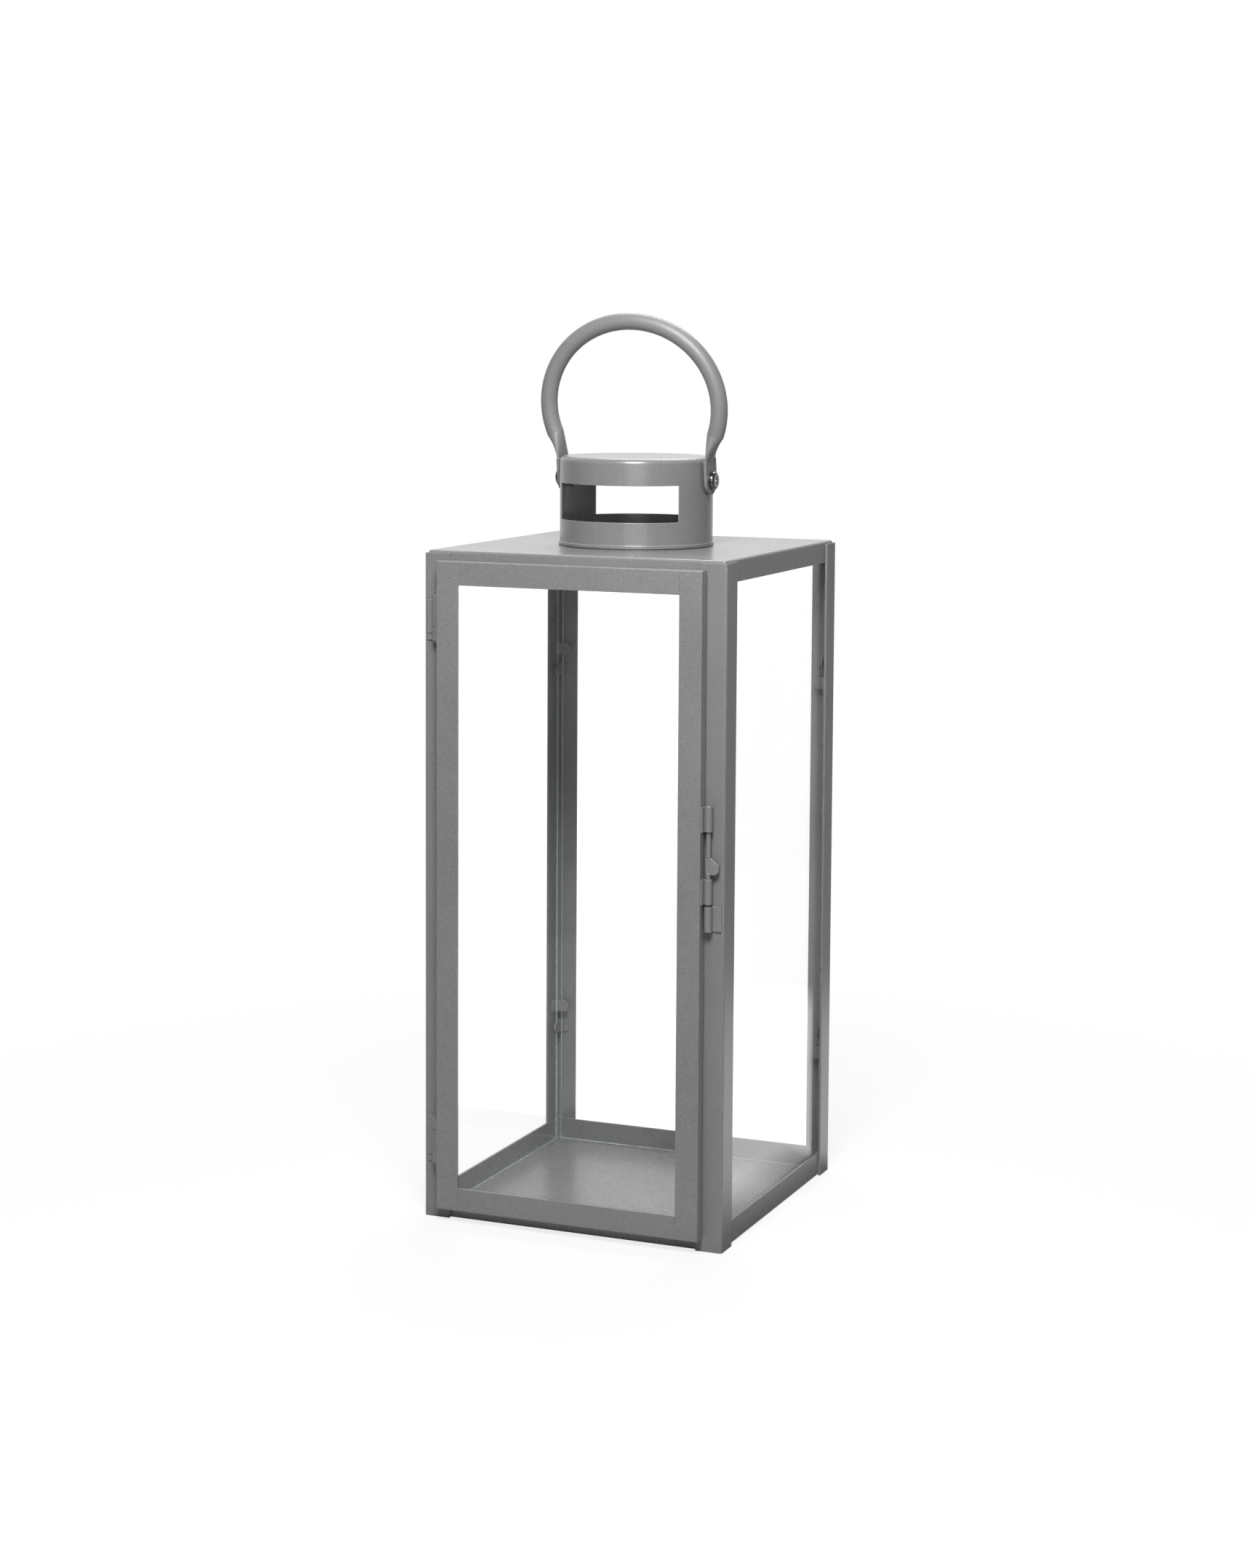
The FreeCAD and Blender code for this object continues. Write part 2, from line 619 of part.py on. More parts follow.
def door_clip(name, side, height):
    tongue_front = f"({pane_front} + glass_sheet + clip_gap)"
    upright = (f"{height} - clip_width / 2", f"{height} + clip_width / 2")
    round_centre = "(door_sheet + clip_foot)"
    tongue = (tongue_front, f"{tongue_front} + clip_sheet")
    blade = box(name + "_blade", door_span(side, "door_sheet", round_centre), tongue, upright)
    centre = f"{side} * ({DOOR_HALF} - {round_centre})"
    tip = cylinder(name + "_tip", "clip_width / 2", "y", *tongue, (centre, height))
    foot = box(name + "_foot", door_span(side, "door_sheet", "door_sheet + clip_sheet"),
               (tongue_front, DOOR_REAR), upright)
    return fuse(name, blade, tip, foot)


door_clips = []
for clip_side in (LEFT, RIGHT):
    for clip_level in CLIP_LEVELS:
        door_clips.append(door_clip(f"door_clip_{len(door_clips)}", clip_side, clip_level))
node(group("door_glass_clips", *door_clips), "door_glass_clips")


# Hinges and bolt barrels: sheet leaves rolled round a pin at each side of the door

def knuckle(name, side, plates, low, high):
    """Plates joined to a barrel on the pin axis of one side, and bored for the pin."""
    centre = (f"{side} * {AXIS_X}", AXIS_Y)
    barrel = cylinder(name + "_barrel", "knuckle_dia / 2", "z", low, high, centre)
    bore = cylinder(name + "_bore", "pin_dia / 2 + pin_fit", "z",
                    f"{low} - pin_play", f"{high} + pin_play", centre)
    return node(cut(name, fuse(name + "_leaf", barrel, *plates), bore), name)


POST_FACE = (f"-{HALF_DEPTH} - leaf_sheet", f"-{HALF_DEPTH}")
LEAF_FOLD = (f"-{HALF_DEPTH} - leaf_sheet - fold_sheet", f"-{HALF_DEPTH} - leaf_sheet")
DOOR_LEAF_CLEAR = f"({AXIS_Y} - {KNUCKLE_CLEAR})"
DOOR_LEAF_FRONT = f"({DOOR_FRONT} + leaf_margin)"


def post_leaf(name, bottom, low, high):
    full = (bottom, f"{bottom} + hinge_height")
    run = sided(LEFT, f"{AXIS_X} + {KNUCKLE_CLEAR}", f"{AXIS_X} + leaf_reach")
    middle = f"({bottom} + hinge_height / 2)"
    plate = box(name + "_plate", run, POST_FACE, full)
    upright = (f"{middle} - fold_height / 2", f"{middle} + fold_height / 2")
    fold = box(name + "_fold", run, LEAF_FOLD, upright)
    web = box(name + "_web", sided(LEFT, AXIS_X, f"{AXIS_X} + {KNUCKLE_CLEAR}"), POST_FACE, (low, high))
    return knuckle(name, LEFT, (plate, fold, web), low, high)


def door_leaf(name, bottom, low, high):
    face = sided(LEFT, DOOR_HALF, f"{DOOR_HALF} + leaf_sheet")
    upright = (bottom, f"{bottom} + hinge_height")
    plate = box(name + "_plate", face, (DOOR_LEAF_FRONT, DOOR_LEAF_CLEAR), upright)
    web = box(name + "_web", face, (DOOR_LEAF_CLEAR, AXIS_Y), (low, high))
    return knuckle(name, LEFT, (plate, web), low, high)


def hinge_pin(name, bottom):
    centre = (f"-{AXIS_X}", AXIS_Y)
    low_seat = f"({bottom} - pin_play)"
    high_seat = f"({bottom} + hinge_height + pin_play)"
    shank = cylinder(name + "_shank", "pin_dia / 2", "z", low_seat, high_seat, centre)
    foot = cylinder(name + "_foot", "pin_head_dia / 2", "z",
                    f"{low_seat} - pin_head_height", low_seat, centre)
    head = cylinder(name + "_head", "pin_head_dia / 2", "z",
                    high_seat, f"{high_seat} + pin_head_height", centre)
    return node(fuse(name, shank, foot, head), name)


def hinge(name, bottom, door_knuckle_on_top):
    top = f"({bottom} + hinge_height)"
    if door_knuckle_on_top:
        post_range = (bottom, f"{bottom} + {POST_KNUCKLE}")
        door_range = (f"{top} - door_knuckle", top)
    else:
        post_range = (f"{top} - {POST_KNUCKLE}", top)
        door_range = (bottom, f"{bottom} + door_knuckle")
    post_leaf(f"{name}_hinge_post_leaf", bottom, *post_range)
    door_leaf(f"{name}_hinge_door_leaf", bottom, *door_range)
    hinge_pin(f"{name}_hinge_pin", bottom)


hinge("upper", HINGE_HIGH, False)
hinge("lower", HINGE_LOW, True)


def bolt_guide(name, bottom):
    upright = (bottom, f"{bottom} + barrel_height")
    face = (DOOR_HALF, f"{DOOR_HALF} + leaf_sheet")
    plate = box(name + "_plate", face, (DOOR_LEAF_FRONT, AXIS_Y), upright)
    return knuckle(name, RIGHT, (plate,), *upright)


bolt_guide("bolt_guide_lower", LOWER_GUIDE)
bolt_guide("bolt_guide_upper", UPPER_GUIDE)

keeper_upright = (KEEPER, f"{KEEPER} + barrel_height")
keeper_plate = box("keeper_plate", (AXIS_X, f"{AXIS_X} + keeper_reach"), POST_FACE, keeper_upright)
knuckle("bolt_keeper", RIGHT, (keeper_plate,), *keeper_upright)


# Bolt: a round rod with a flattened thumb paddle, drawn just clear of the keeper

def latch_bolt(name):
    bolt = body(name)
    bottom = f"({KEEPER} + barrel_height - bolt_hold + {BOLT_LIFT})"
    top = f"({UPPER_GUIDE} + bolt_top + {BOLT_LIFT})"
    foot = f"({LOWER_GUIDE} + barrel_height + paddle_rest + {BOLT_LIFT})"
    head = f"({foot} + paddle_height)"
    neck = f"({head} - paddle_neck)"
    back = "-pin_dia / 2"
    shaft = circle(sketch(bolt, "shaft_section", "XY_Plane", bottom), "pin_dia / 2")
    pad(bolt, "shaft", shaft, f"{foot} + paddle_neck - {bottom}")
    corners = [(back, foot), ("paddle_reach - paddle_corner", foot),
               ("paddle_reach", f"{foot} + paddle_corner"),
               ("paddle_reach", f"{head} - paddle_slope"), ("0", head), (back, head)]
    paddle = outline(sketch(bolt, "paddle_outline", "XZ_Plane"), corners)
    pad(bolt, "paddle", paddle, "paddle_sheet", symmetric=True)
    stem = circle(sketch(bolt, "stem_section", "XY_Plane", neck), "pin_dia / 2")
    pad(bolt, "stem", stem, f"{top} - {neck}")
    place(bolt, AXIS_X, AXIS_Y)
    return node(bolt, name)


latch_bolt("latch_bolt")


# Bail: a tube bent to most of an oval, with its ends flattened into drilled tabs

BAIL_DROP = "(bail_rise - bail_round_from)"
BAIL_END_COS = f"(sqrt(1 - ({BAIL_DROP} / {BAIL_HALF_HEIGHT}) ^ 2))"
BAIL_END_SIN = f"({BAIL_DROP} / {BAIL_HALF_HEIGHT})"
BAIL_END_X = f"({BAIL_HALF_WIDTH} * {BAIL_END_COS})"
BAIL_END_ANGLE = f"(asin({BAIL_END_SIN}) / 1 deg)"
BAIL_END_SLOPE = f"({BAIL_HALF_WIDTH} * {BAIL_END_SIN} / ({BAIL_HALF_HEIGHT} * {BAIL_END_COS}))"
BAIL_END_LEAN = f"(atan({BAIL_END_SLOPE}) / 1 deg)"


def bail_ellipse(name, side, across, through, x, z, tilt):
    """A tube section: its longer axis runs along Y, and tilt leans it out of level."""
    section = doc.addObject("Part::Ellipse", name)
    bind(section, MajorRadius=across, MinorRadius=through)
    level = doc.addObject("Part::Compound", name + "_level")
    level.Links = [turn(section, (0, 0, 1), 90)]
    turn(level, (0, 1, 0), 1)
    level.setExpression("Placement.Rotation.Angle", formula(f"{side} * ({tilt})"))
    return place(level, f"{side} * ({x})", "0", z)


def bail_end(name, side):
    """The stretch where the round tube is pressed flat, and the drilled tab below it."""
    middle_z = "((bail_round_from + bail_flat_from) / 2)"
    middle_x = f"(({BAIL_END_X} + {FLAT_MIDDLE}) / 2 - bail_flat_sheet / 4)"
    round_radius = "bail_tube / 2"
    flat_radius = "bail_flat_width / 2"
    sections = [
        bail_ellipse(name + "_round", side, round_radius, round_radius, BAIL_END_X,
                     "bail_round_from", BAIL_END_LEAN),
        bail_ellipse(name + "_oval", side, f"({round_radius} + {flat_radius}) / 2",
                     "(bail_tube + bail_flat_sheet) / 4", middle_x, middle_z, BAIL_END_LEAN),
        bail_ellipse(name + "_flat", side, flat_radius, "bail_flat_sheet / 2", FLAT_MIDDLE,
                     "bail_flat_from - bail_overlap", "0"),
    ]
    neck = doc.addObject("Part::Loft", name + "_neck")
    neck.Sections = sections
    neck.Solid = True
    through = sided(side, FLAT_INSIDE, f"{FLAT_INSIDE} + bail_flat_sheet")
    blade = box(name + "_blade", through, (f"-{flat_radius}", flat_radius), ("0", "bail_flat_from"))
    tip = cylinder(name + "_tip", flat_radius, "x", *through, ("0", "0"))
    return neck, blade, tip


def bail_handle(name):
    oval = turn(doc.addObject("Part::Ellipse", name + "_oval"), (1, 0, 0), 90)
    bind(oval, MajorRadius=BAIL_HALF_WIDTH, MinorRadius=BAIL_HALF_HEIGHT,
         Angle1=f"360 - {BAIL_END_ANGLE}", Angle2=f"180 + {BAIL_END_ANGLE}")
    place(oval, z="bail_rise")
    section = bail_ellipse(name + "_section", RIGHT, "bail_tube / 2", "bail_tube / 2", BAIL_END_X,
                           "bail_round_from", BAIL_END_LEAN)
    tube = doc.addObject("Part::Sweep", name + "_tube")
    tube.Sections = [section]
    tube.Spine = (oval, ["Edge1"])
    tube.Solid = True
    whole = fuse(name + "_whole", tube, *bail_end(name + "_left", LEFT), *bail_end(name + "_right", RIGHT))
    reach = f"{FLAT_INSIDE} + bail_flat_sheet * 2"
    hole = cylinder(name + "_hole", "pivot_dia / 2 + pivot_fit", "x", f"-({reach})", reach, ("0", "0"))
    bail = cut(name, whole, hole)
    turn(bail, (1, 0, 0), 1)
    bail.setExpression("Placement.Rotation.Angle", formula("bail_lean_angle"))
    place(bail, z=PIVOT_HEIGHT)
    return node(bail, name)


bail_handle("bail_handle")


# Bail pivots: pan head screws through washers and the drum wall into nuts

def pivot_screw(name, side):
    """Built along +X with its seat at x = 0, then turned to its side."""
    screw = body(name)
    head = "screw_head_height"
    tip = f"({NUT_SEAT} - nut_height - screw_tip - {HEAD_SEAT})"
    profile = [(tip, "0"), (tip, "pivot_dia / 2"), ("0", "pivot_dia / 2"), ("0", "screw_head_dia / 2"),
               (head, "screw_head_dia / 2"), (head, "0")]
    half_section = outline(sketch(screw, name + "_profile", "XY_Plane"), profile)
    turned = revolve(screw, name + "_turned", half_section, "H_Axis")
    top = size_of("screw_head_height")
    crown = rims_where(turned, lambda centre: near(centre.x, top))
    fillet(screw, name + "_crown", turned, crown, "screw_head_round")
    arm, slot = "recess_span / 2", "recess_slot / 2"
    floor = (f"{head} - recess_depth", f"{head} + recess_depth")
    upright = box(name + "_slot_upright", floor, (f"-{slot}", slot), (f"-{arm}", arm))
    level = box(name + "_slot_level", floor, (f"-{arm}", arm), (f"-{slot}", slot))
    whole = cut(name, screw, upright, level)
    turn(whole, (0, 0, 1), 0 if side > 0 else 180)
    return place(whole, f"{side} * {HEAD_SEAT}", "0", PIVOT_HEIGHT)


def pivot_nut(name, side):
    prism = doc.addObject("Part::Prism", name + "_prism")
    prism.Polygon = 6
    bind(prism, Circumradius=NUT_CORNER, Height="nut_height")
    bore = cylinder(name + "_bore", "pivot_dia / 2 + thread_gap", "z",
                    "-screw_tip", "nut_height + screw_tip", ("0", "0"))
    nut = turn(cut(name, prism, bore), (0, 1, 0), side * -90)
    return place(nut, f"{side} * {NUT_SEAT}", "0", PIVOT_HEIGHT)


def pivot_washer(name, side):
    centre = ("0", PIVOT_HEIGHT)
    through = sided(side, DRUM_RADIUS, f"{DRUM_RADIUS} + washer_sheet")
    disc = cylinder(name + "_disc", "washer_dia / 2", "x", *through, centre)
    bore = cylinder(name + "_bore", "pivot_dia / 2 + thread_gap", "x", *through, centre)
    return cut(name, disc, bore)


def pair(name, make):
    return node(group(name, make(name + "_left", LEFT), make(name + "_right", RIGHT)), name)


pair("bail_screws", pivot_screw)
pair("bail_nuts", pivot_nut)
pair("bail_washers", pivot_washer)


# Check every object, then write one file for each sub-part

doc.recompute()
for item in doc.Objects:
    if {"Invalid", "Error"} & set(item.State):
        raise RuntimeError(f"{item.Label} failed to build: {item.State}")
for part in nodes:
    if part.Shape.isNull() or not part.Shape.isValid() or not part.Shape.Solids:
        raise RuntimeError(f"{part.Label} has no valid solid")

os.makedirs("parts", exist_ok=True)
for part in nodes:
    part.Shape.exportStep(f"parts/{part.Label}.step")
print(f"{len(nodes)} sub-parts written")
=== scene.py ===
import bpy
from mathutils import Matrix, Vector

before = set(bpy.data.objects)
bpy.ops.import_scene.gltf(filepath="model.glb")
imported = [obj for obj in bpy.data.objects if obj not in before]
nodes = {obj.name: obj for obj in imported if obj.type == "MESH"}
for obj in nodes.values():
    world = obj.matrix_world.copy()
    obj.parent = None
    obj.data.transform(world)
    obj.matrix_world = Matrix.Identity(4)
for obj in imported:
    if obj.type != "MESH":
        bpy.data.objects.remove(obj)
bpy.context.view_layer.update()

# Sockets of the colour mix node, which go by number because names repeat
MIX_FACTOR, MIX_FIRST, MIX_SECOND, MIX_RESULT = 0, 6, 7, 2

# The span that most values of a noise texture lie in
NOISE_LOW, NOISE_HIGH = 0.3, 0.7

# Between no bounce and one bounce of a ray
ANY_BOUNCE = 0.5


def feed(tree, socket, value):
    """Link another node's output to a socket, or set the socket's own value."""
    if isinstance(value, bpy.types.NodeSocket):
        tree.links.new(value, socket)
    else:
        socket.default_value = value


def add(tree, kind, inputs=None, **settings):
    """A shader node whose inputs are plain values or other nodes' outputs."""
    made = tree.nodes.new("ShaderNode" + kind)
    for key, value in settings.items():
        setattr(made, key, value)
    for key, value in (inputs or {}).items():
        feed(tree, made.inputs[key], value)
    return made


def maths(tree, operation, first, second=0.0, third=0.0):
    inputs = {0: first, 1: second, 2: third}
    return add(tree, "Math", inputs, operation=operation).outputs[0]


def times(tree, first, second):
    return maths(tree, "MULTIPLY", first, second)


def vectors(tree, operation, first, second=None):
    """A vector node's outputs: Vector, or Value for a length, a distance or a dot product."""
    inputs = {0: first} if second is None else {0: first, 1: second}
    return add(tree, "VectorMath", inputs, operation=operation).outputs


def axes(tree, vector):
    return add(tree, "SeparateXYZ", {0: vector}).outputs


def spread(tree, value, low, high, to_low=0.0, to_high=1.0):
    """The value taken from one range to another, held at its ends."""
    inputs = {"Value": value, "From Min": low, "From Max": high,
              "To Min": to_low, "To Max": to_high}
    return add(tree, "MapRange", inputs).outputs["Result"]


def noise_to(tree, value, to_low=0.0, to_high=1.0):
    """A noise value stretched over a range."""
    return spread(tree, value, NOISE_LOW, NOISE_HIGH, to_low, to_high)


def mixed(tree, factor, first, second, blend="MIX"):
    inputs = {MIX_FACTOR: factor, MIX_FIRST: first, MIX_SECOND: second}
    made = add(tree, "Mix", inputs, data_type="RGBA", blend_type=blend)
    return made.outputs[MIX_RESULT]


def noise(tree, place, scale, detail=2.0, roughness=0.5, seed=None):
    inputs = {"Vector": place, "Scale": scale, "Detail": detail, "Roughness": roughness}
    if seed is None:
        return add(tree, "TexNoise", inputs).outputs["Fac"]
    inputs["W"] = seed
    return add(tree, "TexNoise", inputs, noise_dimensions="4D").outputs["Fac"]


def rounded(tree, radius, samples):
    """The normal of a face as if its edges had a small radius."""
    return add(tree, "Bevel", {"Radius": radius}, samples=samples).outputs["Normal"]


def grey(level, tint=(1.0, 1.0, 1.0)):
    return (level * tint[0], level * tint[1], level * tint[2], 1.0)


def material(name):
    made = bpy.data.materials.new(name)
    made.use_nodes = True
    tree = made.node_tree
    return made, tree, tree.nodes["Principled BSDF"]


def surface(tree, first, second, share):
    """Give the material's output a mix of two shaders."""
    both = add(tree, "MixShader", {0: share, 1: first.outputs[0], 2: second.outputs[0]})
    tree.links.new(both.outputs[0], tree.nodes["Material Output"].inputs["Surface"])


# Powder coat: lengths in metres, scales in cycles per metre, colours as grey levels
COAT_TINT = (1.0, 0.992, 1.02)
COAT_DARK, COAT_LIGHT = 0.188, 0.212
COAT_SPECULAR = 0.65
SEED_SPAN = 9.0
MOTTLE_SCALE, PEEL_SCALE, STIPPLE_SCALE = 26.0, 800.0, 2200.0
STIPPLE_IN_RELIEF, STIPPLE_IN_COLOUR = 0.4, 0.8
RELIEF_DEPTH = 0.00014
FOLD_RADIUS, FOLD_SAMPLES = 0.00035, 8
SPECK_SCALE, SPECK_ABOVE, SPECK_REACH = 1500.0, 0.955, 0.3
SPECK_GREY, SPECK_STRENGTH = 0.42, 0.4
SCRATCH_TURN, SCRATCH_SCALE = (0.4, 0.9, 0.3), (1900.0, 45.0, 45.0)
SCRATCH_FROM, SCRATCH_FULL = 0.72, 0.8
SCRATCHED_SCALE, SCRATCHED_FROM, SCRATCHED_FULL = 17.0, 0.58, 0.7
SCRATCH_GREY, SCRATCH_STRENGTH = 0.3, 0.35
PADDLE_RUB = (0.0685, -0.071, 0.1645)
RUB_OUTER, RUB_INNER, RUB_GREY = 0.0042, 0.0012, 0.25
RUB_PEEL_LOW, RUB_PEEL_HIGH, RUB_LEAST, RUB_MOST = 0.35, 0.65, 0.15, 0.5
# Edges: lightened partly as wear and partly as a painted highlight along them
EDGE_RADIUS, EDGE_SAMPLES = 0.0006, 6
EDGE_TURN_FROM, EDGE_TURN_FULL = 0.03, 0.3
EDGE_BREAKUP_SCALE, EDGE_BREAKUP_FROM, EDGE_BREAKUP_FULL = 210.0, 0.35, 0.7
EDGE_BREAKUP_LEAST, EDGE_BREAKUP_MOST = 0.3, 0.9
EDGE_WEAR_HIGHLIGHT_GREY, WEAR_POLISH = 0.42, 0.08


def edge_mask(tree):
    """1 along sharp edges, 0 on flat faces."""
    turned = rounded(tree, EDGE_RADIUS, EDGE_SAMPLES)
    straight = add(tree, "NewGeometry").outputs["Normal"]
    agree = vectors(tree, "DOT_PRODUCT", turned, straight)["Value"]
    return spread(tree, agree, 1.0 - EDGE_TURN_FROM, 1.0 - EDGE_TURN_FULL)


def blended(tree, stipple, peel, share):
    """Stipple and orange peel in one grain, with the stipple's share of it."""
    return maths(tree, "MULTIPLY_ADD", stipple, share, times(tree, peel, 1.0 - share))


def coat_material(name, dull, bright, relief, grain):
    """Satin grey powder coat: fine orange peel, pale specks, faint scratches, and pale edges
    that are partly wear and partly a painted highlight.

    dull and bright are the roughness in the hollows and on the tops of the peel,
    relief is the strength of its bump and grain is the contrast of its colour.
    """
    made, tree, shader = material(name)
    place = add(tree, "TexCoord").outputs["Object"]
    seed = times(tree, add(tree, "ObjectInfo").outputs["Random"], SEED_SPAN)
    mottle = noise(tree, place, MOTTLE_SCALE, detail=4.0, roughness=0.6, seed=seed)
    peel = noise(tree, place, PEEL_SCALE, roughness=0.55, seed=seed)
    stipple = noise(tree, place, STIPPLE_SCALE, detail=1.0)
    grained = blended(tree, stipple, peel, STIPPLE_IN_RELIEF)
    fine = blended(tree, stipple, peel, STIPPLE_IN_COLOUR)

    base = mixed(tree, noise_to(tree, mottle),
                 grey(COAT_DARK, COAT_TINT), grey(COAT_LIGHT, COAT_TINT))
    shade = noise_to(tree, fine, 1.0 - grain, 1.0 + grain)
    shades = add(tree, "CombineColor", {0: shade, 1: shade, 2: shade}).outputs[0]
    base = mixed(tree, 1.0, base, shades, "MULTIPLY")

    cells = add(tree, "TexVoronoi", {"Vector": place, "Scale": SPECK_SCALE}).outputs
    chance = add(tree, "SeparateColor", {0: cells["Color"]}).outputs[0]
    speck = times(tree, maths(tree, "GREATER_THAN", chance, SPECK_ABOVE),
                  maths(tree, "LESS_THAN", cells["Distance"], SPECK_REACH))
    base = mixed(tree, times(tree, speck, SPECK_STRENGTH), base, grey(SPECK_GREY))

    slant = add(tree, "Mapping", {"Vector": place, "Rotation": SCRATCH_TURN,
                                  "Scale": SCRATCH_SCALE}).outputs[0]
    lines = spread(tree, noise(tree, slant, scale=1.0, detail=0.0), SCRATCH_FROM, SCRATCH_FULL)
    sparse = spread(tree, noise(tree, place, SCRATCHED_SCALE, detail=1.0, seed=seed),
                    SCRATCHED_FROM, SCRATCHED_FULL)
    scratch = times(tree, lines, sparse)
    base = mixed(tree, times(tree, scratch, SCRATCH_STRENGTH), base,
                 grey(SCRATCH_GREY, COAT_TINT))

    away = vectors(tree, "DISTANCE", place, PADDLE_RUB)["Value"]
    rub = times(tree, spread(tree, away, RUB_OUTER, RUB_INNER),
                spread(tree, peel, RUB_PEEL_LOW, RUB_PEEL_HIGH, RUB_LEAST, RUB_MOST))
    base = mixed(tree, rub, base, grey(RUB_GREY, COAT_TINT))

    # Pale edges, broken up by noise: partly wear, partly a painted highlight along the edges
    edge_breakup = spread(tree, noise(tree, place, EDGE_BREAKUP_SCALE, detail=3.0, roughness=0.6, seed=seed),
                  EDGE_BREAKUP_FROM, EDGE_BREAKUP_FULL, EDGE_BREAKUP_LEAST, EDGE_BREAKUP_MOST)
    edge_wear_and_highlight = times(tree, edge_mask(tree), edge_breakup)
    base = mixed(tree, edge_wear_and_highlight, base, grey(EDGE_WEAR_HIGHLIGHT_GREY, COAT_TINT))

    rough = maths(tree, "SUBTRACT", noise_to(tree, grained, dull, bright),
                  times(tree, edge_wear_and_highlight, WEAR_POLISH))
    bump = add(tree, "Bump", {"Height": grained, "Distance": RELIEF_DEPTH, "Strength": relief,
                              "Normal": rounded(tree, FOLD_RADIUS, FOLD_SAMPLES)})
    feed(tree, shader.inputs["Specular IOR Level"], COAT_SPECULAR)
    feed(tree, shader.inputs["Base Color"], base)
    feed(tree, shader.inputs["Roughness"], rough)
    feed(tree, shader.inputs["Normal"], bump.outputs["Normal"])
    return made


# Glass: clear on its faces, ground and green along its cut edges, flecked there with painted
# glints
GLASS_IOR = 1.5
FACE_ON = 0.5
GLASS_CLEAR = ((0.991, 0.995, 0.992, 1.0), (0.996, 0.999, 0.997, 1.0))
GLASS_CLEAR_SCALE = 12.0
GLASS_CUT_AND_GLINT = ((0.42, 0.56, 0.5, 1.0), (0.86, 0.97, 0.93, 1.0))
CUT_SCALE, CUT_FROM, CUT_FULL = 450.0, 0.4, 0.62
CUT_TRANSMISSION = 0.4
LIGHT_PASSED = (0.955, 0.96, 0.956, 1.0)
SMEAR_SCALE, SMEAR_FROM, SMEAR_FULL, SMEAR_ROUGH = 30.0, 0.45, 0.75, 0.025
GROUND_SCALE, GROUND_SMOOTH, GROUND_ROUGH = 700.0, 0.25, 0.6


def glass_material(name, through_axis):
    """Clear float glass with ground green edges flecked with painted glints, and faint wiping
    marks.
    """
    made, tree, shader = material(name)
    coords = add(tree, "TexCoord").outputs
    place = coords["Object"]
    facing = axes(tree, coords["Normal"])[through_axis]
    cut = maths(tree, "LESS_THAN", maths(tree, "ABSOLUTE", facing), FACE_ON)

    smear = spread(tree, noise(tree, place, SMEAR_SCALE, detail=4.0, roughness=0.6),
                   SMEAR_FROM, SMEAR_FULL, 0.0, SMEAR_ROUGH)
    ground = noise_to(tree, noise(tree, place, GROUND_SCALE), GROUND_SMOOTH, GROUND_ROUGH)
    rough = maths(tree, "MULTIPLY_ADD", cut, maths(tree, "SUBTRACT", ground, smear), smear)
    clear = mixed(tree, noise_to(tree, noise(tree, place, GLASS_CLEAR_SCALE)), *GLASS_CLEAR)
    # The cut edges are green, with pale flecks as painted glints
    glint_flecks = spread(tree, noise(tree, place, CUT_SCALE, detail=3.0, roughness=0.7),
                   CUT_FROM, CUT_FULL)
    green_and_glints = mixed(tree, glint_flecks, *GLASS_CUT_AND_GLINT)
    passed = spread(tree, cut, 0.0, 1.0, 1.0, CUT_TRANSMISSION)
    feed(tree, shader.inputs["IOR"], GLASS_IOR)
    feed(tree, shader.inputs["Base Color"], mixed(tree, cut, clear, green_and_glints))
    feed(tree, shader.inputs["Roughness"], rough)
    feed(tree, shader.inputs["Transmission Weight"], passed)

    path = add(tree, "LightPath").outputs
    lit = maths(tree, "MAXIMUM", path["Is Shadow Ray"], path["Is Diffuse Ray"])
    surface(tree, shader, add(tree, "BsdfTransparent", {"Color": LIGHT_PASSED}), lit)
    return made


# Zinc plate of the bail's screws, nuts and washers, turned about the pivot's axis
PIVOT_AXIS = (0.0, 0.0, 0.3238)
ACROSS_AXIS = (0.0, 1.0, 1.0)
ZINC_DULL, ZINC_BRIGHT = grey(0.6, (1.0, 0.99, 0.96)), grey(0.8, (1.0, 1.0, 0.99))
ZINC_SCALE = 600.0
BRIGHT_FROM, BRIGHT_FULL = 0.35, 0.7
ROUGH_FROM, ROUGH_FULL = 0.3, 0.75
ZINC_SMOOTH, ZINC_ROUGH = 0.14, 0.3
# Painted dark reflection around the head's rim and painted shade in its recess
RIM_FROM, RIM_FULL, RIM_PAINTED_DARK = 0.0026, 0.0033, 0.85
RECESS_FROM, RECESS_FULL, RECESS_PAINTED_SHADE = 0.0022, 0.0012, 0.7
PAINTED_SHADE_GREY = 0.07
RING_RATE, RING_DEPTH, RING_STRENGTH = 30000.0, 0.00001, 0.2
HEAD_RADIUS, HEAD_SAMPLES = 0.0003, 4


